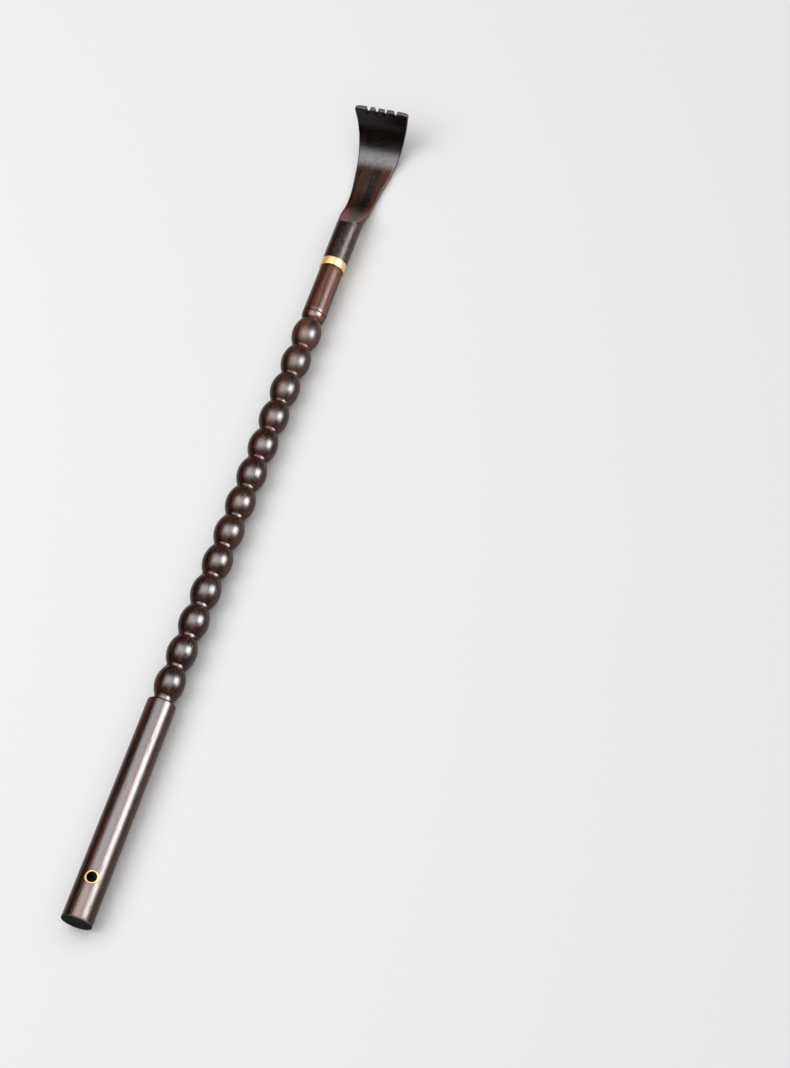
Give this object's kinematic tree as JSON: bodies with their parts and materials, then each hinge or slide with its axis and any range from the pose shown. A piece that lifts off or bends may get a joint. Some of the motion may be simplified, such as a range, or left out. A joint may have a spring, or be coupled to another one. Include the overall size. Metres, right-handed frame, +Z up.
{
  "type": "back scratcher",
  "caption": "Wooden back scratcher: a plain round grip and a turned beaded shaft, a bent and toothed claw head joined under a brass ring, and a brass-lined hanging hole.",
  "frame": {"origin": "on the table under the middle of the overall length, with the scratcher lying claw up", "axes": "+X along the shaft from the butt to the claw, +Z up, the way the tooth tips point"},
  "size_m": [0.4944, 0.0316, 0.0271],
  "materials": {
    "head_rosewood": "waxed and polished dark rosewood",
    "ferrule_brass": "bright polished brass",
    "shaft_rosewood": "waxed and polished dark rosewood",
    "bush_brass": "bright polished brass"
  },
  "bodies": {
    "root": {"claw_head": "head_rosewood", "ferrule": "ferrule_brass", "beaded_shaft": "shaft_rosewood", "hang_bush": "bush_brass"}
  },
  "joints": []
}
